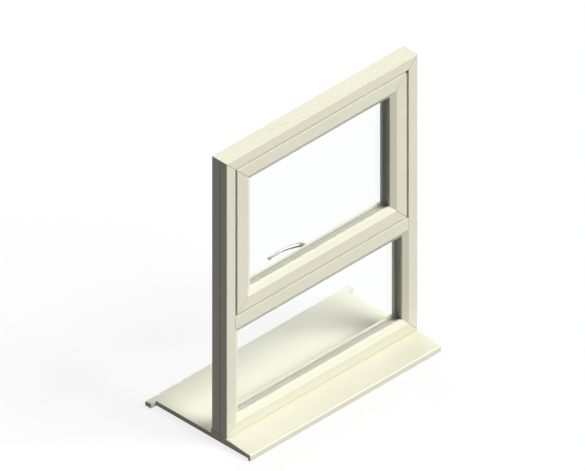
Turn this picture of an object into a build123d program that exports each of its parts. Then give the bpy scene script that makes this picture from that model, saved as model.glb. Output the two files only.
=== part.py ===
from build123d import *
from math import atan, cos, pi, radians, sin, sqrt, tan
import os

# Top hung casement window over a fixed light, with cill, window board and hardware.
#
# Millimetres. X runs along the window, Y runs from the weather side (-) to the room (+), Z is up.
# The origin is the middle of the frame, at the level of the cill's underside.
# A profile is drawn in two measures: w, inwards from the outer edge of its frame, and d, the depth
# from the weather face of the frame towards the room.

os.makedirs("parts", exist_ok=True)

# Overall sizes
window_width = 900.0
window_height = 1120.0
frame_depth = 70.0
cill_height = 30.0
fixed_light_height = 426.0

# Welded outer frame and transom
frame_face = 41.0
transom_face = 47.0
frame_leg_height = 21.0
frame_leg_front = 53.0
frame_leg_flat = 9.0
frame_leg_slope = 8.0
profile_wall = 2.8
front_web = 13.0
outer_groove_depth = 2.0
outer_groove_width = 4.0
outer_groove_start = 30.0
corner_radius = 1.2
rebate_corner_radius = 0.8
weld_groove_width = 2.4
weld_groove_depth = 0.4
drain_slot_length = 25.0
drain_slot_offset = 200.0
drain_outlet_front = 4.0
drain_outlet_width = 5.0

# Sash
sash_gap = 9.0
sash_face = 48.0
sash_leg_height = 20.5
sash_leg_front = 53.0
sash_leg_flat = 8.0
sash_leg_slope = 6.5
sash_back = 66.0
sash_lip_back = 49.0
sash_step = 16.0

# Hardware groove round the sash
groove_middle = 31.0
groove_width = 22.0
groove_depth = 3.0
channel_width = 12.0
channel_depth = 6.0

# Glazing
bead_width = 21.5
bead_chamfer_depth = 11.0
bead_back = 19.0
bead_groove_start = 9.5
bead_groove_width = 3.4
bead_groove_depth = 3.0
bead_clearance = 0.2
bead_wall = 1.6
bead_nose_radius = 0.4
bead_crest_radius = 2.0
glass_front = 22.0
pane_thickness = 4.0
cavity = 20.0
edge_clearance = 4.0
edge_seal_height = 3.0
spacer_height = 5.0
gasket_height = 6.0
gasket_lean = 0.8
packer_length = 100.0
packer_inset = 130.0

# Weather seal between the sash and the frame
seal_clearance = 0.3
seal_inset = 4.0
seal_height = 6.0

# Cill
cill_nose_out = 111.0
cill_bed_front = 8.0
cill_step = 4.0
cill_nose_drop = 15.0
cill_nose_chamfer = 3.0
cill_nose_radius = 1.5
cill_wall = 3.0
cill_lip_drop = 8.0
cill_lip_return = 10.0
upstand_clearance = 0.5
upstand_thickness = 4.0
upstand_height = 8.0
end_cap_thickness = 2.0

# Window board
board_thickness = 18.0
board_depth = 284.5
board_nosing = 27.0
board_horn = 26.0
board_edge_radius = 4.0

# Steel sections in the main chambers
steel_wall = 1.5
steel_clearance = 0.3
steel_end_gap = 5.0

# Screws
screw_radius = 1.9
screw_head_radius = 3.5
screw_sink = 1.6
screw_clearance = 0.05
pan_head_height = 1.8
short_screw = 14.0
track_screw_start = 30.0
track_screw_pitch = 124.0
track_screw_count = 2
arm_screw_offsets = (-110.0, 70.0)
keep_screw_inset = 5.0
faceplate_screw_inset = 8.0
rose_screw_offset = 21.5
rose_screw_length = 25.0

# Friction stays
arm_length = 140.0
arm_width = 14.0
arm_thickness = 2.5
sash_arm_width = 15.0
sash_arm_tail = 10.0
track_width = 18.0
track_height = 4.0
track_sheet = 1.2
track_mouth = 11.0
track_head_gap = 0.5
track_tail = 12.0
shoe_above = 6.0
shoe_below = 20.0
shoe_clearance = 0.2
rivet_radius = 2.5
rivet_clearance = 0.05
rivet_head_radius = 4.5
rivet_head = 0.9
arm_gap = 0.1
washer_radius = 5.0
washer_gap = 0.2

# Espagnolette lock
gear_module = 1.0
gear_teeth = 20
pressure_angle = 20.0
dedendum_share = 1.25
gear_backlash = 0.12
gear_thickness = 8.0
gear_first_tooth = -1
gear_last_tooth = 6
sector_margin = 0.4
hub_radius = 5.2
hub_clearance = 0.05
lock_case_length = 54.0
lock_case_depth = 14.0
lock_case_wall = 1.5
pocket_clearance = 0.3
faceplate_length = 640.0
faceplate_width = 16.0
faceplate_thickness = 2.5
rod_inset = 40.0
rod_width = 10.0
rod_thickness = 3.0
rod_clearance = 0.3
rack_thickness = 7.0
cam_inset = 70.0
cam_radius = 3.5
cam_reach = 6.5
cam_slot_clearance = 0.4
keep_base = 2.0
keep_depth = 18.0
keep_margin = 14.0
keep_lip_lead = 2.0
keep_lip_length = 17.0
keep_lip_thickness = 2.5
keep_lip_clearance = 0.5
keep_top_clearance = 1.0
handle_turn = 90.0

# Handle
backset = 40.0
spindle_side = 7.0
spindle_clearance = 0.05
spindle_hole_radius = 6.0
spindle_front = 25.0
spindle_back = 87.0
rose_length = 62.0
rose_width = 28.0
rose_thickness = 10.0
rose_edge_radius = 2.0
rose_sink = 3.0
neck_radius = 8.0
neck_clearance = 0.3
neck_length = 20.0
grip_lead = 2.0
lever_bend_radius = 16.0
lever_bend_angle = 65.0
lever_reach = 137.0
lever_out = 51.0
socket_clearance = 0.5
# Lever's depth and height at shares of its length, as shares of the neck's diameter
lever_sections = {
    0.0: (1.0, 1.0),
    0.13: (1.0, 1.0),
    0.27: (0.9, 0.94),
    0.45: (0.73, 0.81),
    0.7: (0.69, 0.66),
    0.9: (0.72, 0.64),
    1.0: (0.84, 0.72),
}

# Values that follow from the sizes above
front = -frame_depth / 2
half_width = window_width / 2
frame_bottom = cill_height
frame_top = frame_bottom + window_height
transom_bottom = frame_bottom + fixed_light_height
transom_top = transom_bottom + transom_face
sash_width = window_width - 2 * (frame_face + sash_gap)
sash_bottom = transom_top + sash_gap
sash_top = frame_top - frame_face - sash_gap
glass_back = glass_front + 2 * pane_thickness + cavity
stay_y = front + groove_middle
slider_pivot_z = sash_top
frame_pivot_z = slider_pivot_z - 2 * arm_length
middle_pivot_z = slider_pivot_z - arm_length
pitch_radius = gear_module * gear_teeth / 2
rod_travel = pitch_radius * radians(handle_turn)
spindle_z = sash_bottom + backset
cill_back = frame_depth + upstand_clearance + upstand_thickness
cam_offset = faceplate_length / 2 - cam_inset
rod_length = faceplate_length - 2 * rod_inset
sash_face_w = frame_face + sash_gap
track_floor = frame_face + track_sheet
screw_hole_radius = screw_radius + screw_clearance
track_screw_levels = [
    frame_pivot_z + track_screw_start + n * track_screw_pitch for n in range(track_screw_count)
]
arm_screw_levels = [middle_pivot_z + offset for offset in arm_screw_offsets]
keep_screw_places = [
    cam_x + offset
    for cam_x in (-cam_offset, cam_offset)
    for offset in (
        keep_screw_inset - keep_margin,
        rod_travel + keep_margin - keep_screw_inset,
    )
]
faceplate_screw_x = faceplate_length / 2 - faceplate_screw_inset


def section_plane(bottom):
    """Plane of a profile at the middle of a bottom rail: local x is w, local y is d."""
    return Plane(origin=(0, front, bottom), x_dir=(0, 0, 1), z_dir=(-1, 0, 0))


def end_plane(x):
    """Plane across the window at x: local x runs towards the room, local y is up."""
    return Plane(origin=(x, front, frame_bottom), x_dir=(0, 1, 0), z_dir=(1, 0, 0))


def facing_plane(depth, height):
    """Plane facing the weather side: local x is X, local y is Z, from the given height."""
    return Plane(origin=(0, front + depth, height), x_dir=(1, 0, 0), z_dir=(0, -1, 0))


def rectangle_run(width, bottom, top):
    """Closed path round a frame, from the middle of its bottom edge."""
    side = width / 2
    with BuildLine(Plane.XZ) as run:
        Polyline(
            (0, bottom), (side, bottom), (side, top), (-side, top), (-side, bottom), (0, bottom)
        )
    return run.line


def chamber(low, high):
    """Hollow in the section being drawn, between two of its corners."""
    with Locations(((low[0] + high[0]) / 2, (low[1] + high[1]) / 2)):
        Rectangle(high[0] - low[0], high[1] - low[1], mode=Mode.SUBTRACT)


def block(low, high, mode=Mode.ADD):
    """Block in the piece being built, between two of its corners."""
    middle = [(a + b) / 2 for a, b in zip(low, high)]
    with Locations(tuple(middle)):
        Box(*[b - a for a, b in zip(low, high)], mode=mode)


def round_corners(section, points, radius):
    """Rounds the corners of the section being drawn that lie at the points given."""
    corners = [
        section.vertices().sort_by_distance((x, y, 0))[0] for x, y in points
    ]
    fillet(corners, radius)


def weld_grooves(width, bottom, top, depth, w_low, w_high):
    """Shallow grooves left along the mitres of a flat face, where the weld beads were cleaned off."""
    reach = (w_high - w_low) * sqrt(2) + weld_groove_width
    inset = (w_low + w_high) / 2
    for hand in (-1, 1):
        for x, z in (
            (hand * (width / 2 - inset), top - inset),
            (-hand * (width / 2 - inset), bottom + inset),
        ):
            with Locations(Location((x, front + depth, z), (0, -45 * hand, 0))):
                Box(reach, 2 * weld_groove_depth, weld_groove_width, mode=Mode.SUBTRACT)


def drainage(bottom, face):
    """Slots from the bead groove of a bottom rail to its front chamber, and out underneath."""
    groove_floor = bottom + face - bead_groove_depth
    for x in (-drain_slot_offset, drain_slot_offset):
        block(
            (x - drain_slot_length / 2, front + bead_groove_start, groove_floor - profile_wall),
            (
                x + drain_slot_length / 2,
                front + bead_groove_start + bead_groove_width,
                groove_floor,
            ),
            mode=Mode.SUBTRACT,
        )
    for x in (-drain_slot_offset - drain_slot_length, drain_slot_offset + drain_slot_length):
        block(
            (x - drain_slot_length / 2, front + drain_outlet_front, bottom),
            (
                x + drain_slot_length / 2,
                front + drain_outlet_front + drain_outlet_width,
                bottom + profile_wall,
            ),
            mode=Mode.SUBTRACT,
        )


def bore(seat, radius, length):
    """Round hole into the piece being built, from a seat plane whose z axis points outwards."""
    with Locations(seat):
        Cylinder(
            radius, length, align=(Align.CENTER, Align.CENTER, Align.MAX), mode=Mode.SUBTRACT
        )


def countersink(seat, clearance, mode):
    """Cone of a sunk screw head, with its wide end on the seat plane."""
    with Locations(seat):
        Cone(
            screw_radius + clearance,
            screw_head_radius + clearance,
            screw_sink,
            align=(Align.CENTER, Align.CENTER, Align.MAX),
            mode=mode,
        )


def screw(seat, length, sunk=True):
    """Screw on a seat plane whose z axis points out of the head, with a sunk or a plain head."""
    if sunk:
        countersink(seat, 0.0, Mode.ADD)
    else:
        with Locations(seat):
            Cylinder(
                screw_head_radius,
                pan_head_height,
                align=(Align.CENTER, Align.CENTER, Align.MIN),
            )
    with Locations(seat):
        Cylinder(screw_radius, length, align=(Align.CENTER, Align.CENTER, Align.MAX))


def track_screw_seat(side, level):
    """Seat of a stay track's screw on the floor of the track; side is -1 or 1."""
    return Plane(origin=(side * (half_width - track_floor), stay_y, level), z_dir=(-side, 0, 0))


def arm_screw_seat(side, level):
    """Seat of a sash arm's screw on the outer face of the arm; side is -1 or 1."""
    return Plane(origin=(side * (half_width - sash_face_w), stay_y, level), z_dir=(side, 0, 0))


def keep_screw_seat(x):
    """Seat of a keep's screw on the base of the keep."""
    return Plane(origin=(x, stay_y, transom_top + keep_base), z_dir=(0, 0, 1))


def faceplate_screw_seat(x):
    """Seat of the faceplate's screw on its underside."""
    return Plane(
        origin=(x, stay_y, sash_bottom + groove_depth - faceplate_thickness), z_dir=(0, 0, -1)
    )


def rose_screw_seat(x):
    """Seat of the rose's screw on its room face."""
    return Plane(origin=(x, front + sash_back + rose_thickness, spindle_z), z_dir=(0, 1, 0))


def rail_planes(width, bottom, top):
    """Section plane of each rail of a frame at its middle, with its name."""
    middle = (bottom + top) / 2
    return {
        "bottom": section_plane(bottom),
        "top": Plane(origin=(0, front, top), x_dir=(0, 0, -1), z_dir=(1, 0, 0)),
        "left": Plane(origin=(-width / 2, front, middle), x_dir=(1, 0, 0), z_dir=(0, 0, 1)),
        "right": Plane(origin=(width / 2, front, middle), x_dir=(-1, 0, 0), z_dir=(0, 0, -1)),
    }


def steel_bar(plane, low, high, opens_inwards, start, end):
    """Steel channel in a chamber with the corners given, along a rail from start to end."""
    base, tip = low[0] + steel_clearance, high[0] - steel_clearance
    wall = steel_wall
    if not opens_inwards:
        base, tip = tip, base
        wall = -steel_wall
    front_d, back_d = low[1] + steel_clearance, high[1] - steel_clearance
    with BuildSketch(plane.offset(start)) as channel:
        with BuildLine():
            Polyline(
                (base, front_d),
                (tip, front_d),
                (tip, front_d + steel_wall),
                (base + wall, front_d + steel_wall),
                (base + wall, back_d - steel_wall),
                (tip, back_d - steel_wall),
                (tip, back_d),
                (base, back_d),
                close=True,
            )
        make_face()
    extrude(channel.sketch, amount=end - start)


def save(piece, name):
    """Labels a finished piece and writes it."""
    piece.part.label = name
    export_step(piece.part, f"parts/{name}.step")


def mitred_ring(width, bottom, top, outline):
    """Mitred ring whose w starts at the rectangle given."""
    with BuildPart() as ring:
        with BuildSketch(section_plane(bottom)):
            with BuildLine():
                Polyline(*outline, close=True)
            make_face()
        sweep(path=rectangle_run(width, bottom, top), transition=Transition.RIGHT)
    return ring


def rectangle_outline(w_low, w_high, d_low, d_high):
    """Four corners of a plain section."""
    return [(w_low, d_low), (w_high, d_low), (w_high, d_high), (w_low, d_high)]


def bead_groove(face):
    """Clip groove in a rebate floor that lies at w = face, from the weather side inwards."""
    return [
        (face, bead_groove_start),
        (face - bead_groove_depth, bead_groove_start),
        (face - bead_groove_depth, bead_groove_start + bead_groove_width),
        (face, bead_groove_start + bead_groove_width),
    ]


# Outer frame: four mitred rails and a transom, welded into one piece
frame_main_chamber = (
    (outer_groove_depth + profile_wall, front_web + profile_wall),
    (frame_face - profile_wall, frame_leg_front - 2 * profile_wall),
)
transom_main_chamber = (
    (profile_wall, front_web + profile_wall),
    (transom_face - profile_wall, frame_leg_front - 2 * profile_wall),
)
with BuildPart() as outer_frame:
    with BuildSketch(section_plane(frame_bottom)) as frame_section:
        with BuildLine():
            leg_tip = frame_face + frame_leg_height
            Polyline(
                (0, 0),
                (frame_face, 0),
                *bead_groove(frame_face),
                (frame_face, frame_leg_front),
                (leg_tip, frame_leg_front),
                (leg_tip, frame_leg_front + frame_leg_flat),
                (leg_tip - frame_leg_slope, frame_depth),
                (0, frame_depth),
                (0, outer_groove_start + outer_groove_width),
                (outer_groove_depth, outer_groove_start + outer_groove_width),
                (outer_groove_depth, outer_groove_start),
                (0, outer_groove_start),
                close=True,
            )
        make_face()
        leg_back = (leg_tip - frame_leg_slope, frame_depth)
        leg_shoulder = (leg_tip, frame_leg_front + frame_leg_flat)
        round_corners(
            frame_section,
            [(0, 0), (0, frame_depth), leg_back, leg_shoulder],
            corner_radius,
        )
        round_corners(frame_section, [(frame_face, 0)], rebate_corner_radius)
        inner_wall = frame_face - bead_groove_depth - profile_wall
        chamber((profile_wall, profile_wall), (inner_wall, front_web))
        chamber(*frame_main_chamber)
        chamber(
            (outer_groove_depth + profile_wall, frame_leg_front - profile_wall),
            (frame_face - profile_wall, frame_depth - profile_wall),
        )
    sweep(
        path=rectangle_run(window_width, frame_bottom, frame_top), transition=Transition.RIGHT
    )
    with BuildSketch(section_plane(transom_bottom)) as transom_section:
        with BuildLine():
            upper_tip = transom_face + frame_leg_height
            lower_groove = [(transom_face - w, d) for w, d in bead_groove(transom_face)]
            Polyline(
                (0, 0),
                (transom_face, 0),
                *bead_groove(transom_face),
                (transom_face, frame_leg_front),
                (upper_tip, frame_leg_front),
                (upper_tip, frame_leg_front + frame_leg_flat),
                (upper_tip - frame_leg_slope, frame_depth),
                (frame_leg_slope - frame_leg_height, frame_depth),
                (-frame_leg_height, frame_leg_front + frame_leg_flat),
                (-frame_leg_height, frame_leg_front),
                (0, frame_leg_front),
                *reversed(lower_groove),
                close=True,
            )
        make_face()
        round_corners(transom_section, [(0, 0), (transom_face, 0)], rebate_corner_radius)
        round_corners(
            transom_section,
            [
                (upper_tip, frame_leg_front + frame_leg_flat),
                (-frame_leg_height, frame_leg_front + frame_leg_flat),
            ],
            corner_radius,
        )
        chamber(
            (bead_groove_depth + profile_wall, profile_wall),
            (transom_face - bead_groove_depth - profile_wall, front_web),
        )
        chamber(*transom_main_chamber)
        chamber(
            (profile_wall, frame_leg_front - profile_wall),
            (transom_face - profile_wall, frame_depth - profile_wall),
        )
    extrude(amount=half_width - frame_face, both=True)
    weld_grooves(window_width, frame_bottom, frame_top, 0, 0, frame_face)
    weld_grooves(window_width, frame_bottom, frame_top, frame_depth, 0, leg_back[0])
    drainage(frame_bottom, frame_face)
    for side in (-1, 1):
        for level in track_screw_levels:
            bore(track_screw_seat(side, level), screw_hole_radius, short_screw)
    for x in keep_screw_places:
        bore(keep_screw_seat(x), screw_hole_radius, short_screw)
save(outer_frame, "outer_frame")

# Sash: four mitred rails welded into one piece, with the hardware groove round its edge
channel_floor = groove_depth + channel_depth
sash_main_chamber = (
    (channel_floor + profile_wall, front_web + profile_wall),
    (sash_face - profile_wall, sash_lip_back - profile_wall),
)
with BuildPart() as sash_frame:
    groove_low = groove_middle - groove_width / 2
    groove_high = groove_middle + groove_width / 2
    channel_low = groove_middle - channel_width / 2
    channel_high = groove_middle + channel_width / 2
    with BuildSketch(section_plane(sash_bottom)) as sash_section:
        with BuildLine():
            sash_tip = sash_face + sash_leg_height
            Polyline(
                (0, 0),
                (sash_face, 0),
                *bead_groove(sash_face),
                (sash_face, sash_leg_front),
                (sash_tip, sash_leg_front),
                (sash_tip, sash_leg_front + sash_leg_flat),
                (sash_tip - sash_leg_slope, sash_back),
                (sash_step, sash_back),
                (sash_step, sash_lip_back),
                (0, sash_lip_back),
                (0, groove_high),
                (groove_depth, groove_high),
                (groove_depth, channel_high),
                (channel_floor, channel_high),
                (channel_floor, channel_low),
                (groove_depth, channel_low),
                (groove_depth, groove_low),
                (0, groove_low),
                close=True,
            )
        make_face()
        sash_back_tip = (sash_tip - sash_leg_slope, sash_back)
        round_corners(
            sash_section,
            [
                (0, 0),
                (sash_step, sash_back),
                sash_back_tip,
                (sash_tip, sash_leg_front + sash_leg_flat),
                (sash_tip, sash_leg_front),
            ],
            corner_radius,
        )
        round_corners(sash_section, [(sash_face, 0)], rebate_corner_radius)
        chamber(
            (profile_wall, profile_wall), (sash_face - bead_groove_depth - profile_wall, front_web)
        )
        chamber(*sash_main_chamber)
        chamber(
            (sash_step + profile_wall, sash_leg_front - profile_wall / 2),
            (sash_face + profile_wall, sash_back - profile_wall),
        )
    sweep(
        path=rectangle_run(sash_width, sash_bottom, sash_top), transition=Transition.RIGHT
    )
    pocket_x = lock_case_length / 2 + pocket_clearance
    pocket_y = lock_case_depth / 2 + pocket_clearance
    pocket_top = spindle_z + hub_radius + lock_case_wall + 2 * pocket_clearance
    block(
        (-pocket_x, stay_y - pocket_y, sash_bottom),
        (pocket_x, stay_y + pocket_y, pocket_top),
        mode=Mode.SUBTRACT,
    )
    with BuildSketch(facing_plane(sash_back, spindle_z)):
        Circle(spindle_hole_radius)
    extrude(amount=sash_back - groove_middle, mode=Mode.SUBTRACT)
    weld_grooves(sash_width, sash_bottom, sash_top, 0, 0, sash_face)
    weld_grooves(sash_width, sash_bottom, sash_top, sash_back, sash_step, sash_back_tip[0])
    drainage(sash_bottom, sash_face)
    for side in (-1, 1):
        for level in arm_screw_levels:
            bore(arm_screw_seat(side, level), screw_hole_radius, short_screw)
        bore(faceplate_screw_seat(side * faceplate_screw_x), screw_hole_radius, short_screw)
        bore(rose_screw_seat(side * rose_screw_offset), screw_hole_radius, rose_screw_length)
save(sash_frame, "sash_frame")

# Steel channels in the main chambers, cut short of the welds
with BuildPart() as frame_reinforcement:
    frame_half_span = {
        "bottom": half_width - frame_face - steel_end_gap,
        "top": half_width - frame_face - steel_end_gap,
        "left": window_height / 2 - frame_face - steel_end_gap,
        "right": window_height / 2 - frame_face - steel_end_gap,
    }
    for rail, plane in rail_planes(window_width, frame_bottom, frame_top).items():
        span = frame_half_span[rail]
        steel_bar(plane, *frame_main_chamber, True, -span, span)
    span = frame_half_span["bottom"]
    steel_bar(section_plane(transom_bottom), *transom_main_chamber, True, -span, span)
save(frame_reinforcement, "frame_reinforcement")

with BuildPart() as sash_reinforcement:
    upright_span = (sash_top - sash_bottom) / 2 - sash_face - steel_end_gap
    level_span = sash_width / 2 - sash_face - steel_end_gap
    sash_planes = rail_planes(sash_width, sash_bottom, sash_top)
    for rail, span in (("left", upright_span), ("right", upright_span), ("top", level_span)):
        steel_bar(sash_planes[rail], *sash_main_chamber, False, -span, span)
    pocket_end = pocket_x + steel_end_gap
    steel_bar(sash_planes["bottom"], *sash_main_chamber, False, -level_span, -pocket_end)
    steel_bar(sash_planes["bottom"], *sash_main_chamber, False, pocket_end, level_span)
save(sash_reinforcement, "sash_reinforcement")


def glaze(light, width, bottom, top):
    """Sealed unit, gaskets, packers and beads in a rebate whose floor is the rectangle given."""
    edge_x = width / 2 - edge_clearance
    inner_front = glass_back - pane_thickness
    for name, depth in (("outer_pane", glass_front), ("inner_pane", inner_front)):
        with BuildPart() as pane:
            block(
                (-edge_x, front + depth, bottom + edge_clearance),
                (edge_x, front + depth + pane_thickness, top - edge_clearance),
            )
        save(pane, f"{light}_{name}")

    cavity_front = glass_front + pane_thickness
    spacer_low = edge_clearance + edge_seal_height
    spacer_high = spacer_low + spacer_height
    edge_seal = rectangle_outline(edge_clearance, spacer_low, cavity_front, inner_front)
    spacer = rectangle_outline(spacer_low, spacer_high, cavity_front, inner_front)
    outer_gasket = [
        (bead_width - gasket_height, bead_back),
        (bead_width, bead_back),
        (bead_width - gasket_lean, glass_front),
        (bead_width - gasket_height, glass_front),
    ]
    inner_gasket = [
        (bead_width - gasket_height - gasket_lean, glass_back),
        (bead_width - 2 * gasket_lean, glass_back),
        (bead_width - gasket_lean, sash_leg_front),
        (bead_width - gasket_height - gasket_lean, sash_leg_front),
    ]
    for name, outline in (
        ("edge_seal", edge_seal),
        ("spacer", spacer),
        ("outer_gasket", outer_gasket),
        ("inner_gasket", inner_gasket),
    ):
        save(mitred_ring(width, bottom, top, outline), f"{light}_{name}")

    with BuildPart() as packers:
        for side in (-1, 1):
            middle = side * (width / 2 - packer_inset)
            block(
                (middle - packer_length / 2, front + glass_front, bottom),
                (middle + packer_length / 2, front + glass_back, bottom + edge_clearance),
            )
    save(packers, f"{light}_packers")

    foot_low = bead_groove_start + bead_clearance
    foot_high = bead_groove_start + bead_groove_width - bead_clearance
    foot_tip = bead_clearance - bead_groove_depth
    bead_outline = [
        (0, 0),
        (bead_width, bead_chamfer_depth),
        (bead_width, bead_back),
        (bead_width - gasket_height - bead_wall, bead_back),
        (bead_width - gasket_height - bead_wall, bead_back - bead_wall),
        (bead_width - bead_wall, bead_back - bead_wall),
        (bead_width - bead_wall, bead_chamfer_depth + bead_wall / 2),
        (bead_wall, 2 * bead_wall),
        (bead_wall, foot_high),
        (foot_tip, foot_high),
        (foot_tip, foot_low),
        (0, foot_low),
    ]
    with BuildPart() as bead_ring:
        with BuildSketch(section_plane(bottom)) as bead_section:
            with BuildLine():
                Polyline(*bead_outline, close=True)
            make_face()
            round_corners(bead_section, [(0, 0)], bead_nose_radius)
            round_corners(bead_section, [(bead_width, bead_chamfer_depth)], bead_crest_radius)
        sweep(path=rectangle_run(width, bottom, top), transition=Transition.RIGHT)
    middle_z = (bottom + top) / 2
    half_height = (top - bottom) / 2
    for side, (out_x, out_z) in {
        "bottom": (0, -1),
        "top": (0, 1),
        "left": (-1, 0),
        "right": (1, 0),
    }.items():
        with BuildPart() as bead:
            add(bead_ring.part)
            for end in (-1, 1):
                along_x = end * out_z
                along_z = end * out_x
                corner = (
                    (out_x + along_x) * width / 2,
                    front,
                    middle_z + (out_z + along_z) * half_height,
                )
                mitre = Plane(origin=corner, z_dir=(out_x - along_x, 0, out_z - along_z))
                split(bisect_by=mitre, keep=Keep.TOP)
            half_plane = Plane(origin=(0, front, middle_z), z_dir=(out_x, 0, out_z))
            split(bisect_by=half_plane, keep=Keep.TOP)
        save(bead, f"{light}_bead_{side}")


frame_rebate = window_width - 2 * frame_face
sash_rebate = sash_width - 2 * sash_face
glaze("fixed", frame_rebate, frame_bottom + frame_face, transom_bottom)
glaze("sash", sash_rebate, sash_bottom + sash_face, sash_top - sash_face)

# Weather seal in the upper opening, against which the sash closes
with BuildPart() as weather_seal:
    with BuildSketch(section_plane(sash_bottom)):
        with BuildLine():
            seal_low = (seal_inset, frame_leg_front)
            seal_high = (seal_inset + seal_height, frame_leg_front)
            seal_crest = (seal_inset + seal_height / 2, sash_lip_back + seal_clearance)
            Line(seal_low, seal_high)
            ThreePointArc(seal_high, seal_crest, seal_low)
        make_face()
    sweep(path=rectangle_run(sash_width, sash_bottom, sash_top), transition=Transition.RIGHT)
save(weather_seal, "weather_seal")

# Cill: hollow extrusion with an upstand behind the frame and a drip lip under its nose
nose_chamfer_start = cill_nose_chamfer - cill_nose_out
cill_slope_outline = [
    (cill_bed_front, 0),
    (cill_bed_front, -cill_step),
    (nose_chamfer_start, -cill_nose_drop),
    (-cill_nose_out, -cill_nose_drop - cill_nose_chamfer),
]
cill_nose_corners = [
    (nose_chamfer_start, -cill_nose_drop),
    (-cill_nose_out, -cill_nose_drop - cill_nose_chamfer),
]
with BuildPart() as cill:
    with BuildSketch(end_plane(0)) as cill_section:
        with BuildLine():
            Polyline(
                *cill_slope_outline,
                (-cill_nose_out, -cill_height - cill_lip_drop),
                (cill_lip_return - cill_nose_out, -cill_height - cill_lip_drop),
                (cill_lip_return - cill_nose_out, cill_wall - cill_height - cill_lip_drop),
                (cill_wall - cill_nose_out, cill_wall - cill_height - cill_lip_drop),
                (cill_wall - cill_nose_out, -cill_height),
                (cill_back, -cill_height),
                (cill_back, upstand_height),
                (cill_back - upstand_thickness, upstand_height),
                (cill_back - upstand_thickness, 0),
                close=True,
            )
        make_face()
        round_corners(cill_section, cill_nose_corners, cill_nose_radius)
        chamber(
            (cill_bed_front + cill_wall, cill_wall - cill_height),
            (cill_back - cill_wall, -cill_wall),
        )
        with BuildLine():
            Polyline(
                (cill_bed_front, cill_wall - cill_height),
                (cill_bed_front, -cill_step - cill_wall),
                (nose_chamfer_start, -cill_nose_drop - cill_wall),
                (nose_chamfer_start, cill_wall - cill_height),
                close=True,
            )
        make_face(mode=Mode.SUBTRACT)
    extrude(amount=half_width - end_cap_thickness, both=True)
save(cill, "cill")

for side, x in (("left", -half_width), ("right", half_width - end_cap_thickness)):
    with BuildPart() as end_cap:
        with BuildSketch(end_plane(x)) as cap_section:
            with BuildLine():
                Polyline(
                    *cill_slope_outline,
                    (-cill_nose_out, -cill_height - cill_lip_drop),
                    (cill_lip_return - cill_nose_out, -cill_height - cill_lip_drop),
                    (cill_lip_return - cill_nose_out, -cill_height),
                    (cill_back, -cill_height),
                    (cill_back, upstand_height),
                    (cill_back - upstand_thickness, upstand_height),
                    (cill_back - upstand_thickness, 0),
                    close=True,
                )
            make_face()
            round_corners(cap_section, cill_nose_corners, cill_nose_radius)
        extrude(amount=end_cap_thickness)
    save(end_cap, f"{side}_cill_end_cap")

# Window board with a nosing that returns past the reveal on both sides
with BuildPart() as window_board:
    board_front = front + cill_back
    board_back = board_front + board_depth
    nosing_x = half_width + board_horn
    block((-half_width, board_front, 0), (half_width, board_back - board_nosing, board_thickness))
    block((-nosing_x, board_back - board_nosing, 0), (nosing_x, board_back, board_thickness))
    nosing_edges = window_board.edges().filter_by(Axis.X).group_by(Axis.Y)[-1]
    fillet(nosing_edges, board_edge_radius)
save(window_board, "window_board")


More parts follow.
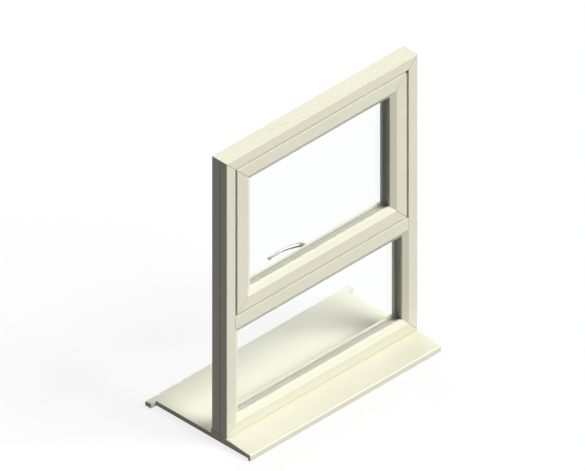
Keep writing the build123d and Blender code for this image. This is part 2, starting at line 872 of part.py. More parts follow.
def stay(side_name, side):
    """Two-bar friction stay of one jamb; side is -1 on the left and 1 on the right."""

    def at(w):
        """X of a layer at w from the outer edge of the frame."""
        return side * (half_width - w)

    def layer(piece_low, piece_high, y, z, mode=Mode.ADD):
        """Block between two values of w, y and z."""
        x_low, x_high = sorted((at(piece_low), at(piece_high)))
        block((x_low, stay_y + y[0], z[0]), (x_high, stay_y + y[1], z[1]), mode=mode)

    def disc(w_low, w_high, radius, z, mode=Mode.ADD):
        """Disc on a pivot axis, between two values of w."""
        middle = (at(w_low) + at(w_high)) / 2
        with Locations(Location((middle, stay_y, z), (0, 90, 0))):
            Cylinder(radius, w_high - w_low, mode=mode)

    track_rim = frame_face + track_height
    arm_low = track_rim + rivet_head + arm_gap + washer_gap
    arm_high = arm_low + arm_thickness
    track_top = frame_top - frame_face - track_head_gap
    track_bottom = frame_pivot_z - track_tail

    with BuildPart() as track:
        half = track_width / 2
        layer(frame_face, track_rim, (-half, half), (track_bottom, track_top))
        layer(
            track_floor,
            track_rim - track_sheet,
            (track_sheet - half, half - track_sheet),
            (track_bottom, track_top),
            mode=Mode.SUBTRACT,
        )
        layer(
            track_floor,
            track_rim,
            (-track_mouth / 2, track_mouth / 2),
            (track_bottom, track_top),
            mode=Mode.SUBTRACT,
        )
        for level in track_screw_levels:
            bore(track_screw_seat(side, level), screw_hole_radius, track_sheet)
    save(track, f"{side_name}_stay_track")

    with BuildPart() as frame_rivet:
        disc(track_floor, arm_low - washer_gap, washer_radius, frame_pivot_z)
        disc(arm_low - washer_gap, arm_high + arm_gap, rivet_radius, frame_pivot_z)
        disc(arm_high + arm_gap, arm_high + arm_gap + rivet_head, rivet_head_radius, frame_pivot_z)
    save(frame_rivet, f"{side_name}_frame_rivet")

    with BuildPart() as support_arm:
        half = arm_width / 2
        layer(arm_low, arm_high, (-half, half), (frame_pivot_z, middle_pivot_z))
        for z in (frame_pivot_z, middle_pivot_z):
            disc(arm_low, arm_high, half, z)
        for z in (frame_pivot_z, middle_pivot_z):
            disc(arm_low, arm_high, rivet_radius + rivet_clearance, z, mode=Mode.SUBTRACT)
    save(support_arm, f"{side_name}_support_arm")

    with BuildPart() as shoe:
        slab_low = track_floor + shoe_clearance
        slab_high = track_rim - track_sheet - shoe_clearance
        half_slab = track_width / 2 - track_sheet - shoe_clearance
        half_block = track_mouth / 2 - shoe_clearance
        shoe_z = (slider_pivot_z - shoe_below, slider_pivot_z + shoe_above)
        layer(slab_low, slab_high, (-half_slab, half_slab), shoe_z)
        layer(slab_low, sash_face_w - shoe_clearance, (-half_block, half_block), shoe_z)
        disc(
            slab_low,
            sash_face_w,
            rivet_radius + rivet_clearance,
            slider_pivot_z,
            mode=Mode.SUBTRACT,
        )
    save(shoe, f"{side_name}_stay_shoe")

    with BuildPart() as sash_arm:
        half = sash_arm_width / 2
        arm_back = sash_face_w + groove_depth
        arm_end = frame_pivot_z - sash_arm_tail
        layer(sash_face_w, arm_back, (-half, half), (arm_end, slider_pivot_z))
        disc(sash_face_w, arm_back, half, slider_pivot_z)
        disc(sash_face_w, arm_back, half, arm_end)
        for z in (middle_pivot_z, slider_pivot_z):
            disc(sash_face_w, arm_back, rivet_radius + rivet_clearance, z, mode=Mode.SUBTRACT)
        for level in arm_screw_levels:
            bore(arm_screw_seat(side, level), screw_hole_radius, groove_depth)
            countersink(arm_screw_seat(side, level), screw_clearance, Mode.SUBTRACT)
    save(sash_arm, f"{side_name}_sash_arm")

    with BuildPart() as sash_rivets:
        head_low = arm_low - arm_gap - rivet_head
        disc(head_low, arm_low - arm_gap, rivet_head_radius, middle_pivot_z)
        disc(arm_low - arm_gap, arm_back, rivet_radius, middle_pivot_z)
        disc(arm_high + washer_gap, sash_face_w, washer_radius, middle_pivot_z)
        disc(slab_low, arm_back, rivet_radius, slider_pivot_z)
    save(sash_rivets, f"{side_name}_sash_rivets")


stay("left", -1)
stay("right", 1)

with BuildPart() as stay_track_screws:
    for side in (-1, 1):
        for level in track_screw_levels:
            screw(track_screw_seat(side, level), short_screw, sunk=False)
save(stay_track_screws, "stay_track_screws")

with BuildPart() as sash_arm_screws:
    for side in (-1, 1):
        for level in arm_screw_levels:
            screw(arm_screw_seat(side, level), short_screw)
save(sash_arm_screws, "sash_arm_screws")

# Lock case in the bottom rail: two cheeks that carry the gear's hub, open over the rod
case_x = lock_case_length / 2
case_y = lock_case_depth / 2
case_bottom = sash_bottom + groove_depth
case_top = spindle_z + hub_radius + lock_case_wall + pocket_clearance
rod_bottom = case_bottom + rod_clearance
rod_top = rod_bottom + rod_thickness
with BuildPart() as lock_case:
    block((-case_x, stay_y - case_y, case_bottom), (case_x, stay_y + case_y, case_top))
    block(
        (lock_case_wall - case_x, stay_y + lock_case_wall - case_y, case_bottom),
        (case_x - lock_case_wall, stay_y + case_y - lock_case_wall, case_top - lock_case_wall),
        mode=Mode.SUBTRACT,
    )
    block(
        (-case_x, stay_y - rod_width / 2 - rod_clearance, case_bottom),
        (case_x, stay_y + rod_width / 2 + rod_clearance, rod_top + rod_clearance),
        mode=Mode.SUBTRACT,
    )
    with BuildSketch(facing_plane(groove_middle + case_y, spindle_z)):
        Circle(hub_radius + hub_clearance)
    extrude(amount=lock_case_depth, mode=Mode.SUBTRACT)
save(lock_case, "lock_case")

# Faceplate with a slot for each cam
with BuildPart() as faceplate:
    block(
        (-faceplate_length / 2, stay_y - faceplate_width / 2, case_bottom - faceplate_thickness),
        (faceplate_length / 2, stay_y + faceplate_width / 2, case_bottom),
    )
    slot_radius = cam_radius + cam_slot_clearance
    with BuildSketch(Plane.XY.offset(case_bottom - faceplate_thickness)):
        with Locations(*[(x + rod_travel / 2, stay_y) for x in (-cam_offset, cam_offset)]):
            SlotCenterToCenter(rod_travel, 2 * slot_radius)
    extrude(amount=faceplate_thickness, mode=Mode.SUBTRACT)
    for x in (-faceplate_screw_x, faceplate_screw_x):
        bore(faceplate_screw_seat(x), screw_hole_radius, faceplate_thickness)
        countersink(faceplate_screw_seat(x), screw_clearance, Mode.SUBTRACT)
save(faceplate, "lock_faceplate")

with BuildPart() as faceplate_screws:
    for x in (-faceplate_screw_x, faceplate_screw_x):
        screw(faceplate_screw_seat(x), short_screw)
save(faceplate_screws, "faceplate_screws")

# Rod, rack and cams slide together
with BuildPart() as lock_rod:
    block(
        (-rod_length / 2, stay_y - rod_width / 2, rod_bottom),
        (rod_length / 2, stay_y + rod_width / 2, rod_top),
    )
save(lock_rod, "lock_rod")

pitch = pi * gear_module
addendum = gear_module
dedendum = dedendum_share * gear_module
flank_slope = tan(radians(pressure_angle))
pitch_line = spindle_z - pitch_radius
rack_low = (-gear_last_tooth - 1) * pitch
rack_high = (1 - gear_first_tooth) * pitch
with BuildPart() as lock_rack:
    with BuildSketch(facing_plane(groove_middle + rack_thickness / 2, 0)):
        with BuildLine():
            Polyline(
                (rack_low, rod_top),
                (rack_high, rod_top),
                (rack_high, pitch_line - dedendum),
                (rack_low, pitch_line - dedendum),
                close=True,
            )
        make_face()
        for n in range(-gear_last_tooth - 1, 1 - gear_first_tooth):
            tooth_middle = (n + 0.5) * pitch
            half_tooth = (pitch / 2 - gear_backlash) / 2
            with BuildLine():
                Polyline(
                    (tooth_middle - half_tooth - dedendum * flank_slope, pitch_line - dedendum),
                    (tooth_middle + half_tooth + dedendum * flank_slope, pitch_line - dedendum),
                    (tooth_middle + half_tooth - addendum * flank_slope, pitch_line + addendum),
                    (tooth_middle - half_tooth + addendum * flank_slope, pitch_line + addendum),
                    close=True,
                )
            make_face()
    extrude(amount=rack_thickness)
save(lock_rack, "lock_rack")

with BuildPart() as lock_cams:
    for x in (-cam_offset, cam_offset):
        cam_length = rod_bottom - sash_bottom + cam_reach
        with Locations((x, stay_y, rod_bottom - cam_length / 2)):
            Cylinder(cam_radius, cam_length)
save(lock_cams, "lock_cams")

# Keeps on the transom: the cam slides behind the lip when the handle is turned
for side_name, cam_x in (("left", -cam_offset), ("right", cam_offset)):
    with BuildPart() as keep:
        keep_start = cam_x - keep_margin
        keep_end = cam_x + rod_travel + keep_margin
        lip_start = cam_x + cam_radius + keep_lip_lead
        lip_back_y = stay_y - cam_radius - keep_lip_clearance
        block(
            (keep_start, stay_y - keep_depth / 2, transom_top),
            (keep_end, stay_y + keep_depth / 2, transom_top + keep_base),
        )
        block(
            (lip_start, lip_back_y - keep_lip_thickness, transom_top + keep_base),
            (lip_start + keep_lip_length, lip_back_y, sash_bottom - keep_top_clearance),
        )
        for x in keep_screw_places:
            bore(keep_screw_seat(x), screw_hole_radius, keep_base)
            countersink(keep_screw_seat(x), screw_clearance, Mode.SUBTRACT)
    save(keep, f"{side_name}_keep")

with BuildPart() as keep_screws:
    for x in keep_screw_places:
        screw(keep_screw_seat(x), short_screw)
save(keep_screws, "keep_screws")


def involute(base_radius, radius, start_angle, hand):
    """Point of an involute at a radius; hand is 1 or -1."""
    roll = ((radius / base_radius) ** 2 - 1) ** 0.5
    angle = start_angle + hand * (roll - atan(roll))
    return (radius * cos(angle), radius * sin(angle))


# Sector gear on the spindle
base_radius = pitch_radius * cos(radians(pressure_angle))
root_radius = pitch_radius - dedendum
tip_radius = pitch_radius + addendum
pitch_roll = tan(radians(pressure_angle))
pitch_involute = pitch_roll - radians(pressure_angle)
half_tooth_angle = (pi * gear_module / 2 - gear_backlash) / 2 / pitch_radius
with BuildPart() as lock_gear:
    with BuildSketch(facing_plane(groove_middle + gear_thickness / 2, spindle_z)):
        Circle(hub_radius)
        tooth_angle = 2 * pi / gear_teeth
        sector_start = radians(-90) - (gear_last_tooth + sector_margin) * tooth_angle
        sector_end = radians(-90) - (gear_first_tooth - sector_margin) * tooth_angle
        sector_middle = (sector_start + sector_end) / 2
        with BuildLine():
            start_point = (root_radius * cos(sector_start), root_radius * sin(sector_start))
            mid_point = (root_radius * cos(sector_middle), root_radius * sin(sector_middle))
            end_point = (root_radius * cos(sector_end), root_radius * sin(sector_end))
            Line((0, 0), start_point)
            ThreePointArc(start_point, mid_point, end_point)
            Line(end_point, (0, 0))
        make_face()
        for k in range(gear_first_tooth, gear_last_tooth + 1):
            centre = radians(-90) - k * tooth_angle
            right_start = centre - half_tooth_angle - pitch_involute
            left_start = centre + half_tooth_angle + pitch_involute
            right = [
                involute(base_radius, r, right_start, 1)
                for r in (base_radius, pitch_radius, tip_radius)
            ]
            left = [
                involute(base_radius, r, left_start, -1)
                for r in (base_radius, pitch_radius, tip_radius)
            ]
            inner_right = (hub_radius * cos(right_start), hub_radius * sin(right_start))
            inner_left = (hub_radius * cos(left_start), hub_radius * sin(left_start))
            with BuildLine():
                Line(inner_right, right[0])
                ThreePointArc(*right)
                Line(right[2], left[2])
                ThreePointArc(*reversed(left))
                Line(left[0], inner_left)
                Line(inner_left, inner_right)
            make_face()
    extrude(amount=gear_thickness)
    hub_length = lock_case_depth - 2 * hub_clearance
    with BuildSketch(facing_plane(groove_middle + hub_length / 2, spindle_z)):
        Circle(hub_radius)
    extrude(amount=hub_length)
    with BuildSketch(facing_plane(groove_middle + hub_length / 2, spindle_z)):
        Rectangle(spindle_side + 2 * spindle_clearance, spindle_side + 2 * spindle_clearance)
    extrude(amount=hub_length, mode=Mode.SUBTRACT)
save(lock_gear, "lock_gear")

with BuildPart() as spindle:
    half = spindle_side / 2
    block(
        (-half, front + spindle_front, spindle_z - half),
        (half, front + spindle_back, spindle_z + half),
    )
save(spindle, "spindle")

# Handle rose on the room face of the sash
with BuildPart() as handle_rose:
    with BuildSketch(facing_plane(sash_back + rose_thickness, spindle_z)):
        SlotOverall(rose_length, rose_width)
    extrude(amount=rose_thickness)
    fillet(handle_rose.faces().sort_by(Axis.Y)[-1].edges(), rose_edge_radius)
    with BuildSketch(facing_plane(sash_back + rose_thickness, spindle_z)):
        Circle(spindle_hole_radius)
    extrude(amount=rose_thickness, mode=Mode.SUBTRACT)
    with BuildSketch(facing_plane(sash_back + rose_thickness, spindle_z)):
        Circle(neck_radius + neck_clearance)
    extrude(amount=rose_sink, mode=Mode.SUBTRACT)
    for x in (-rose_screw_offset, rose_screw_offset):
        bore(rose_screw_seat(x), screw_hole_radius, rose_thickness)
        countersink(rose_screw_seat(x), screw_clearance, Mode.SUBTRACT)
save(handle_rose, "handle_rose")

with BuildPart() as rose_screws:
    for x in (-rose_screw_offset, rose_screw_offset):
        screw(rose_screw_seat(x), rose_screw_length)
save(rose_screws, "rose_screws")

# Lever: a neck out of the rose that bends over into an arched grip
neck_start = front + sash_back + rose_thickness - rose_sink + neck_clearance
neck_end = front + sash_back + neck_length
socket_side = spindle_side + 2 * spindle_clearance
with BuildPart() as handle_lever:
    with BuildLine(Plane.XY.offset(spindle_z)) as grip_line:
        neck_top = neck_end + grip_lead
        Line((0, neck_end), (0, neck_top))
        bend = JernArc((0, neck_top), (0, 1), lever_bend_radius, lever_bend_angle)
        TangentArc(bend @ 1, (-lever_reach, front + sash_back + lever_out), tangent=bend % 1)
    grip_path = grip_line.wires()[0]
    for share, (depth_share, height_share) in lever_sections.items():
        station = Plane(origin=grip_path @ share, x_dir=(0, 0, 1), z_dir=grip_path % share)
        with BuildSketch(station):
            Ellipse(height_share * neck_radius, depth_share * neck_radius)
    loft()
    with BuildSketch(facing_plane(neck_end - front, spindle_z)):
        Circle(neck_radius)
    extrude(amount=neck_end - neck_start)
    with BuildSketch(facing_plane(spindle_back + socket_clearance, spindle_z)):
        Rectangle(socket_side, socket_side)
    extrude(amount=spindle_back + socket_clearance + front - neck_start, mode=Mode.SUBTRACT)
save(handle_lever, "handle_lever")
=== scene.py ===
"""Looks of the top hung window: camera, light, floor and the finish of every piece.

Metres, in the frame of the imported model: X runs along the window, -Y is the weather side,
+Y the room and +Z is up.
"""
import math

import bpy
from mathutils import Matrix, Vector


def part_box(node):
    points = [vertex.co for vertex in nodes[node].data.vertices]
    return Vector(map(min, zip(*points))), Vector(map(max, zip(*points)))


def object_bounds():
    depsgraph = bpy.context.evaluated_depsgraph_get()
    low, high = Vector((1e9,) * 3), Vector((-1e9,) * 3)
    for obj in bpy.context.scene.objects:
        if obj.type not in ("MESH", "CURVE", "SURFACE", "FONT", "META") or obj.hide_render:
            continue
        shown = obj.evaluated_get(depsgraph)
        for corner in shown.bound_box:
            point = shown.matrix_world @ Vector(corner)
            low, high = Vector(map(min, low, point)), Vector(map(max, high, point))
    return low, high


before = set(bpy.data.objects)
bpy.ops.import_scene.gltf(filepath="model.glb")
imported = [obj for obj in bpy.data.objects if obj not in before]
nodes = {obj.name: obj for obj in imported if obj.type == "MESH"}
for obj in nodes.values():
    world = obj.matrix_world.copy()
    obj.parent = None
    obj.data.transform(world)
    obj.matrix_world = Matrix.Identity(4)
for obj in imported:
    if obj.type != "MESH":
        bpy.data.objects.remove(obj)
cad_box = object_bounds()

# Camera: a true isometric view from the left, the weather side and above
VIEW_WIDTH = 1.9528
VIEW_TARGET = Vector((-0.1048, 0.0, 0.6706))
VIEW_DIRECTION = Vector((-1.0, -1.0, 1.0)).normalized()
VIEW_DISTANCE = 4.0
VIEW_DEPTH = 100.0

# Light: a broad key high on the weather side, a broad level fill from the room and a dim sky.
# A sun's direction is as long as its level on a face that is turned to it.
KEY_DIRECTION = Vector((0.42, -0.84, 0.91))
FILL_DIRECTION = Vector((0.27, 0.73, 0.20))
SUN_ANGLE = math.radians(34.0)
SKY_LEVEL = 0.09

# Floor
FLOOR_SIZE = 60.0
FLOOR_TONES = ((0.150, 0.150, 0.150), (0.154, 0.154, 0.154))
FLOOR_GLOW = 0.82

# Welded rails: the faces between which the weld lines lie, and the lines themselves, which carry
# painted shade of their grooves
FRAME_FACE = 0.041
TRANSOM_FACE = 0.047
SASH_GAP = 0.009
SEAM_HALF_WIDTH = 0.0011
SEAM_REACH = 0.075

# Colours, as linear values
IVORY = (0.735, 0.722, 0.585)
IVORY_SHADE = (0.700, 0.684, 0.545)
LAMINATE = (0.760, 0.748, 0.625)
LAMINATE_SHADE = (0.728, 0.714, 0.590)
# Painted shade: the dark of the weld grooves and of the transom's butt joints
PAINTED_SEAM_SHADE = (0.34, 0.325, 0.25)
GASKET = (0.477, 0.462, 0.393)
GASKET_WORN = (0.41, 0.40, 0.35)
WEATHER_RUBBER = (0.033, 0.033, 0.027)
WEATHER_RUBBER_WORN = (0.060, 0.058, 0.048)
SEALANT = (0.012, 0.012, 0.012)
SPACER_PALE = (0.507, 0.491, 0.420)
# Painted shade inside the spacer's breather holes
SPACER_HOLE_SHADE = (0.20, 0.19, 0.16)
PACKER_BLUE = (0.075, 0.16, 0.36)
PACKER_BLUE_LIGHT = (0.1125, 0.24, 0.54)
STEEL = (0.58, 0.585, 0.60)
STEEL_SHADE = (0.464, 0.468, 0.48)
ZINC = (0.56, 0.56, 0.54)
ZINC_SHADE = (0.40, 0.41, 0.40)
NYLON = (0.022, 0.022, 0.024)
NICKEL = (0.34, 0.34, 0.345)
GLASS = (0.986, 0.996, 0.991)
GLASS_SHADOW = (0.990, 0.995, 0.992)
WHITE = (1.0, 1.0, 1.0)

# Shader values that are the same all over a surface
PLASTIC_IOR = 1.47
PLASTIC_SPECULAR = 0.32
GLASS_IOR = 1.22
SPACER_ROUGHNESS = 0.5
PACKER_ROUGHNESS = 0.48
NICKEL_METALLIC = 0.8

# Range that most of a noise's values lie in
NOISE_LOW = 0.3
NOISE_HIGH = 0.7

# The Mix node's sockets for each kind of value: factor, first and second input, and output
MIX_SOCKETS = {"RGBA": (0, 6, 7, 2), "FLOAT": (0, 2, 3, 0)}


class Tree:
    """The nodes of a material or a world, with short ways to add and join them."""

    def __init__(self, owner, output="ShaderNodeOutputMaterial"):
        owner.use_nodes = True
        self.owner = owner
        self.nodes = owner.node_tree.nodes
        self.links = owner.node_tree.links
        self.nodes.clear()
        self.output = self.add(output)

    def add(self, kind, **settings):
        """New node with the given settings."""
        node = self.nodes.new(kind)
        for key, value in settings.items():
            setattr(node, key, value)
        return node

    def join(self, source, target):
        """Link from one socket to another."""
        self.links.new(source, target)

    def feed(self, target, value):
        """Sets a socket to a number or a colour, or links it to another socket."""
        if isinstance(value, bpy.types.NodeSocket):
            self.join(value, target)
        elif isinstance(value, tuple) and len(value) == 3 and target.type == "RGBA":
            target.default_value = (*value, 1.0)
        else:
            target.default_value = value

    def math(self, operation, *values):
        """Result of one sum or comparison."""
        node = self.add("ShaderNodeMath", operation=operation)
        for socket, value in zip(node.inputs, values):
            self.feed(socket, value)
        return node.outputs[0]

    def mix(self, factor, first, second, kind="RGBA"):
        """Colour between two colours, or a number between two numbers if the kind is FLOAT."""
        node = self.add("ShaderNodeMix", data_type=kind)
        *inputs, output = MIX_SOCKETS[kind]
        for index, value in zip(inputs, (factor, first, second)):
            self.feed(node.inputs[index], value)
        return node.outputs[output]

    def span(self, value, low, high, to_low=0.0, to_high=1.0):
        """Value taken from one range to another and held inside it."""
        node = self.add("ShaderNodeMapRange", clamp=True)
        for socket, number in zip(node.inputs, (value, low, high, to_low, to_high)):
            self.feed(socket, number)
        return node.outputs[0]

    def graded(self, noise, to_low=0.0, to_high=1.0):
        """Noise spread over a range."""
        return self.span(noise, NOISE_LOW, NOISE_HIGH, to_low, to_high)

    def near(self, value, target, reach):
        """1 where the value is within the reach of the target, softly falling to 0."""
        gap = self.math("ABSOLUTE", self.math("SUBTRACT", value, target))
        return self.span(gap, reach * 0.6, reach, 1.0, 0.0)

    def parts(self, point):
        """The three measures of a point."""
        node = self.add("ShaderNodeSeparateXYZ")
        self.join(point, node.inputs[0])
        return node.outputs

    def place(self):
        """Point of the surface at rest, in metres."""
        return self.add("ShaderNodeTexCoord").outputs["Object"]

    def scaled(self, point, scale):
        """The point with each measure times its own scale."""
        node = self.add("ShaderNodeMapping", vector_type="POINT")
        self.join(point, node.inputs["Vector"])
        node.inputs["Scale"].default_value = scale
        return node.outputs[0]

    def noise(self, point, scale=1.0, detail=2.0, roughness=0.5):
        """Soft noise with the given number of waves in each unit of the point."""
        node = self.add("ShaderNodeTexNoise")
        self.join(point, node.inputs["Vector"])
        node.inputs["Scale"].default_value = scale
        node.inputs["Detail"].default_value = detail
        node.inputs["Roughness"].default_value = roughness
        return node.outputs["Fac"]

    def cells(self, point, scale, **settings):
        """Distances in a field of cells, with the given number of cells in each metre."""
        node = self.add("ShaderNodeTexVoronoi", **settings)
        self.join(point, node.inputs["Vector"])
        node.inputs["Scale"].default_value = scale
        return node

    def bump(self, height, strength, distance, normal=None):
        """Normal of the surface with small hills on it."""
        node = self.add("ShaderNodeBump")
        self.feed(node.inputs["Height"], height)
        node.inputs["Strength"].default_value = strength
        node.inputs["Distance"].default_value = distance
        if normal is not None:
            self.join(normal, node.inputs["Normal"])
        return node.outputs[0]

    def surface(self, color, roughness, normal, **constants):
        """Closes the material with one Principled shader, and returns the material."""
        shader = self.add("ShaderNodeBsdfPrincipled")
        self.feed(shader.inputs["Base Color"], color)
        self.feed(shader.inputs["Roughness"], roughness)
        self.join(normal, shader.inputs["Normal"])
        for key, value in constants.items():
            shader.inputs[key.replace("_", " ")].default_value = value
        self.join(shader.outputs[0], self.output.inputs["Surface"])
        return self.owner


def new_material(name):
    """Empty material's tree, and the point of the surface in it."""
    tree = Tree(bpy.data.materials.new(name))
    return tree, tree.place()


def drawn_lines(tree, point, along):
    """Fine lines that the die leaves along a bar."""
    stretch = tuple(6.0 if axis == along else 900.0 for axis in "xyz")
    return tree.noise(tree.scaled(point, stretch), detail=3.0)


def plastic(tree, point, lines, color, shade):
    """Smooth drawn plastic with the given lines: soft satin gloss and a slightly uneven tone."""
    clouds = tree.math("MULTIPLY", tree.graded(tree.noise(point, scale=4.0)), 0.6)
    streaks = tree.math("MULTIPLY", tree.span(lines, 0.35, 0.65), 0.25)
    tone = tree.mix(tree.math("ADD", clouds, streaks), color, shade)
    skin = tree.noise(point, scale=2200.0, detail=1.0)
    normal = tree.bump(lines, strength=0.18, distance=0.00012)
    normal = tree.bump(skin, strength=0.05, distance=0.00008, normal=normal)
    return tree.surface(
        tone, tree.graded(lines, 0.30, 0.38), normal,
        IOR=PLASTIC_IOR, Specular_IOR_Level=PLASTIC_SPECULAR,
    )


def extruded(name, color, shade, along):
    """One bar of drawn plastic."""
    tree, point = new_material(name)
    return plastic(tree, point, drawn_lines(tree, point, along), color, shade)


def transom_marks(tree, across, height, top, half):
    """1 on the transom, and 1 on its butt joints with the jambs, where painted shade is laid."""
    middle = top - TRANSOM_FACE / 2
    from_middle = tree.math("ABSOLUTE", tree.math("SUBTRACT", height, middle))
    on_level = tree.math("LESS_THAN", from_middle, TRANSOM_FACE / 2)
    off_centre = tree.math("ABSOLUTE", across)
    on_transom = tree.math("MULTIPLY", on_level, tree.math("LESS_THAN", off_centre, half))
    joint_shade_mask = tree.math("MULTIPLY", on_level, tree.near(off_centre, half, SEAM_HALF_WIDTH))
    return on_transom, joint_shade_mask


def welded_ring(name, node, transom_top=None):
    """Welded rails: each with its own lines along it, and a cleaned weld line at every mitre,
    darkened with painted shade of its groove.
    """
    (_, _, bottom), (half, _, top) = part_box(node)
    tree, point = new_material(name)
    across, _, height = tree.parts(point)
    from_side = tree.math("SUBTRACT", half, tree.math("ABSOLUTE", across))
    from_level = tree.math(
        "MINIMUM", tree.math("SUBTRACT", height, bottom), tree.math("SUBTRACT", top, height)
    )
    beyond_mitre = tree.math("SUBTRACT", from_side, from_level)
    level_rail = tree.math("GREATER_THAN", beyond_mitre, 0.0)
    mitre = tree.near(beyond_mitre, 0.0, SEAM_HALF_WIDTH * math.sqrt(2.0))
    painted_shade_mask = tree.math("MULTIPLY", mitre, tree.math("LESS_THAN", from_side, SEAM_REACH))
    if transom_top is not None:
        inner_half = half - FRAME_FACE
        on_transom, joint_shade_mask = transom_marks(tree, across, height, transom_top, inner_half)
        level_rail = tree.math("MAXIMUM", level_rail, on_transom)
        painted_shade_mask = tree.math("MAXIMUM", painted_shade_mask, joint_shade_mask)
    lines_up = drawn_lines(tree, point, "z")
    lines_across = drawn_lines(tree, point, "x")
    lines = tree.mix(level_rail, lines_up, lines_across, kind="FLOAT")
    # Painted shade along the weld lines and the transom's butt joints
    color = tree.mix(painted_shade_mask, IVORY, PAINTED_SEAM_SHADE)
    return plastic(tree, point, lines, color, tree.mix(painted_shade_mask, IVORY_SHADE, PAINTED_SEAM_SHADE))


def rubber(name, color, worn):
    """Extruded elastomer, dull, a little changed in tone where it is rubbed."""
    tree, point = new_material(name)
    dust = tree.noise(point, scale=160.0, detail=4.0, roughness=0.6)
    grain = tree.noise(point, scale=3500.0, detail=1.0)
    tone = tree.mix(tree.span(dust, 0.42, 0.75), color, worn)
    normal = tree.bump(grain, strength=0.25, distance=0.0001)
    return tree.surface(tone, tree.graded(dust, 0.55, 0.72), normal)


def sealant():
    """Black sealant, troweled smooth with a slow wave."""
    tree, point = new_material("edge_sealant")
    wave = tree.noise(point, scale=90.0, detail=3.0)
    normal = tree.bump(wave, strength=0.3, distance=0.0006)
    return tree.surface(SEALANT, tree.graded(wave, 0.40, 0.62), normal)


def spacer_bar():
    """Warm-edge bar with the rows of breather holes that face the cavity, the holes darkened
    with painted shade.
    """
    tree, point = new_material("spacer_bar")
    holes = tree.cells(point, scale=420.0, feature="DISTANCE_TO_EDGE")
    holes.inputs["Randomness"].default_value = 0.15
    dots = tree.span(holes.outputs["Distance"], 0.25, 0.42)
    # The holes get painted shade: a darker colour where shade would fall inside them
    tone = tree.mix(tree.math("MULTIPLY", dots, 0.5), SPACER_PALE, SPACER_HOLE_SHADE)
    normal = tree.bump(dots, strength=-0.3, distance=0.0002)
    return tree.surface(tone, SPACER_ROUGHNESS, normal)


def packer_plastic():
    """Moulded shims with a faint grain."""
    tree, point = new_material("packer_plastic")
    clouds = tree.noise(point, scale=40.0)
    grain = tree.noise(point, scale=900.0)
    tone = tree.mix(tree.graded(clouds, 0.0, 0.25), PACKER_BLUE, PACKER_BLUE_LIGHT)
    normal = tree.bump(grain, strength=0.15, distance=0.0002)
    return tree.surface(tone, PACKER_ROUGHNESS, normal)


def brushed_steel():
    """Rolled stainless strip with the brushing along its length, which stands upright."""
    tree, point = new_material("brushed_steel")
    brushing = tree.noise(tree.scaled(point, (2600.0, 2600.0, 40.0)), detail=3.0)
    smear = tree.noise(point, scale=60.0, detail=3.0)
    rough = tree.math(
        "ADD", tree.graded(brushing, 0.22, 0.36), tree.span(smear, 0.4, 0.7, 0.0, 0.08)
    )
    tone = tree.mix(tree.graded(brushing, 0.0, 0.3), STEEL, STEEL_SHADE)
    normal = tree.bump(brushing, strength=0.2, distance=0.00006)
    return tree.surface(tone, rough, normal, Metallic=1.0)


def zinc_plate():
    """Passivated zinc: soft mottling and a dull shine."""
    tree, point = new_material("zinc_plate")
    spangle = tree.cells(point, scale=320.0, feature="F1").outputs["Distance"]
    clouds = tree.noise(point, scale=130.0, detail=4.0, roughness=0.6)
    mottle = tree.math("MULTIPLY", clouds, tree.span(spangle, 0.0, 0.8, 0.7, 1.0))
    tone = tree.mix(tree.span(mottle, 0.3, 0.6), ZINC_SHADE, ZINC)
    rough = tree.span(mottle, 0.3, 0.6, 0.42, 0.30)
    normal = tree.bump(mottle, strength=0.1, distance=0.0001)
    return tree.surface(tone, rough, normal, Metallic=1.0)


def nylon():
    """Black moulded nylon with a fine grain."""
    tree, point = new_material("black_nylon")
    grain = tree.noise(point, scale=1400.0)
    normal = tree.bump(grain, strength=0.2, distance=0.00012)
    return tree.surface(NYLON, tree.graded(grain, 0.40, 0.52), normal)


def satin_nickel():
    """Plated zinc casting, satin, with faint hand marks."""
    tree, point = new_material("satin_nickel")
    marks = tree.noise(point, scale=34.0, detail=4.0, roughness=0.6)
    polish = tree.noise(tree.scaled(point, (60.0, 900.0, 900.0)))
    rough = tree.math(
        "ADD", tree.span(marks, 0.35, 0.7, 0.26, 0.34), tree.graded(polish, 0.0, 0.05)
    )
    normal = tree.bump(polish, strength=0.08, distance=0.00006)
    return tree.surface(NICKEL, rough, normal, Metallic=NICKEL_METALLIC)


def float_glass():
    """Clear float glass with the faintest waviness, open to the lamps and to soft light."""
    tree, point = new_material("float_glass")
    shader = tree.add("ShaderNodeBsdfPrincipled")
    tree.feed(shader.inputs["Base Color"], GLASS)
    shader.inputs["Roughness"].default_value = 0.0
    shader.inputs["IOR"].default_value = GLASS_IOR
    shader.inputs["Transmission Weight"].default_value = 1.0
    wave = tree.noise(point, scale=3.5, detail=1.0)
    tree.join(tree.bump(wave, strength=0.02, distance=0.0004), shader.inputs["Normal"])
    clear = tree.add("ShaderNodeBsdfTransparent")
    tree.feed(clear.inputs["Color"], GLASS_SHADOW)
    path = tree.add("ShaderNodeLightPath")
    result = shader.outputs[0]
    for ray in ("Is Diffuse Ray", "Is Shadow Ray"):
        mixer = tree.add("ShaderNodeMixShader")
        for socket, source in zip(mixer.inputs, (path.outputs[ray], result, clear.outputs[0])):
            tree.join(source, socket)
        result = mixer.outputs[0]
    tree.join(result, tree.output.inputs["Surface"])
    return tree.owner


def seen_rays(tree):
    """1 for the rays that see the background: straight, in a mirror or through glass."""
    path = tree.add("ShaderNodeLightPath").outputs
    seen = tree.math("MAXIMUM", path["Is Camera Ray"], path["Is Glossy Ray"])
    seen = tree.math("MAXIMUM", seen, path["Is Transmission Ray"])
    return tree.math("MULTIPLY", seen, tree.math("LESS_THAN", path["Diffuse Depth"], 0.5))


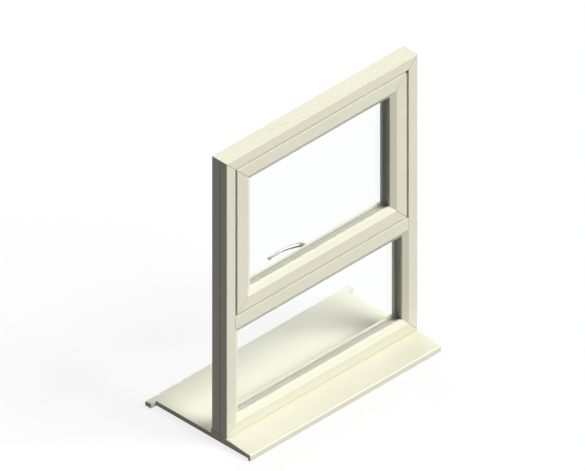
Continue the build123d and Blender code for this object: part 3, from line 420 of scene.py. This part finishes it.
def floor_material():
    """Pale floor that keeps the object's shadow, with little light thrown back up."""
    tree, point = new_material("studio_floor")
    grain = tree.noise(point, scale=14.0, detail=3.0)
    matt = tree.add("ShaderNodeBsdfDiffuse")
    tree.feed(matt.inputs["Color"], tree.mix(tree.graded(grain), *FLOOR_TONES))
    glow = tree.add("ShaderNodeEmission")
    tree.feed(glow.inputs["Color"], WHITE)
    tree.feed(glow.inputs["Strength"], tree.math("MULTIPLY", seen_rays(tree), FLOOR_GLOW))
    both = tree.add("ShaderNodeAddShader")
    for socket, shader in zip(both.inputs, (matt, glow)):
        tree.join(shader.outputs[0], socket)
    tree.join(both.outputs[0], tree.output.inputs["Surface"])
    return tree.owner


def make_camera():
    """Parallel camera that frames the window as the drawing does."""
    data = bpy.data.cameras.new("camera")
    data.type = "ORTHO"
    data.ortho_scale = VIEW_WIDTH
    data.clip_end = VIEW_DEPTH
    camera = bpy.data.objects.new("camera", data)
    bpy.context.scene.collection.objects.link(camera)
    camera.location = VIEW_TARGET + VIEW_DIRECTION * VIEW_DISTANCE
    camera.rotation_euler = (-VIEW_DIRECTION).to_track_quat("-Z", "Y").to_euler()
    bpy.context.scene.camera = camera


def make_sun(name, towards):
    """Sun whose level on a face is the cosine times the length of its direction."""
    data = bpy.data.lights.new(name, "SUN")
    data.energy = towards.length * math.pi
    data.angle = SUN_ANGLE
    sun = bpy.data.objects.new(name, data)
    bpy.context.scene.collection.objects.link(sun)
    sun.rotation_euler = towards.to_track_quat("Z", "Y").to_euler()
    sun.location = towards * VIEW_DISTANCE


def make_world():
    """White to the eye, a dim even sky as a light."""
    world = bpy.data.worlds.new("world")
    bpy.context.scene.world = world
    tree = Tree(world, "ShaderNodeOutputWorld")
    sky = tree.add("ShaderNodeBackground")
    tree.feed(sky.inputs["Color"], WHITE)
    tree.feed(sky.inputs["Strength"], tree.span(seen_rays(tree), 0.0, 1.0, SKY_LEVEL, 1.0))
    tree.join(sky.outputs[0], tree.output.inputs["Surface"])


def make_floor():
    """Floor at the lowest point of the object."""
    lowest = cad_box[0][2]
    bpy.ops.mesh.primitive_plane_add(size=FLOOR_SIZE, location=(0.0, 0.0, lowest))
    floor = bpy.context.active_object
    floor.name = "floor"
    floor.data.materials.append(floor_material())


def paint(material, names):
    """Gives CAD nodes one material."""
    for name in names:
        mesh = nodes[name].data
        mesh.materials.clear()
        mesh.materials.append(material)


def each(firsts, seconds):
    """Names of the nodes made of one word from each list."""
    return [f"{first}_{second}" for first in firsts for second in seconds]


def paint_plastic():
    """Frame, sash, beads, cill and window board."""
    (_, _, sash_bottom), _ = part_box("sash_frame")
    paint(welded_ring("ivory_frame", "outer_frame", sash_bottom - SASH_GAP), ["outer_frame"])
    paint(welded_ring("ivory_sash", "sash_frame"), ["sash_frame"])
    along_x = [
        "cill",
        *each(("left", "right"), ["cill_end_cap"]),
        *each(("fixed", "sash"), ["bead_bottom", "bead_top"]),
    ]
    paint(extruded("ivory_profile_x", IVORY, IVORY_SHADE, "x"), along_x)
    uprights = each(("fixed", "sash"), ["bead_left", "bead_right"])
    paint(extruded("ivory_profile_z", IVORY, IVORY_SHADE, "z"), uprights)
    paint(extruded("ivory_board", LAMINATE, LAMINATE_SHADE, "x"), ["window_board"])


def paint_glazing():
    """Both glass units and what seals them."""
    lights = ("fixed", "sash")
    paint(float_glass(), each(lights, ["outer_pane", "inner_pane"]))
    gaskets = each(lights, ["outer_gasket", "inner_gasket"])
    paint(rubber("glazing_gasket", GASKET, GASKET_WORN), gaskets)
    paint(rubber("weather_rubber", WEATHER_RUBBER, WEATHER_RUBBER_WORN), ["weather_seal"])
    paint(sealant(), each(lights, ["edge_seal"]))
    paint(spacer_bar(), each(lights, ["spacer"]))
    paint(packer_plastic(), each(lights, ["packers"]))


def paint_hardware():
    """Stays, screws, lock, handle and reinforcement."""
    sides = ("left", "right")
    stays = each(sides, ["stay_track", "frame_rivet", "support_arm", "sash_arm", "sash_rivets"])
    screws = each(("stay_track", "sash_arm", "keep", "faceplate", "rose"), ["screws"])
    paint(brushed_steel(), [*stays, *screws])
    paint(nylon(), each(sides, ["stay_shoe"]))
    lock = each(["lock"], ["case", "faceplate", "rod", "rack", "cams", "gear"])
    steels = each(("frame", "sash"), ["reinforcement"])
    paint(zinc_plate(), [*lock, *steels, *each(sides, ["keep"]), "spindle"])
    paint(satin_nickel(), ["handle_rose", "handle_lever"])


make_camera()
make_sun("key", KEY_DIRECTION)
make_sun("fill", FILL_DIRECTION)
make_world()
make_floor()
paint_plastic()
paint_glazing()
paint_hardware()
bpy.context.scene.view_settings.view_transform = "Standard"
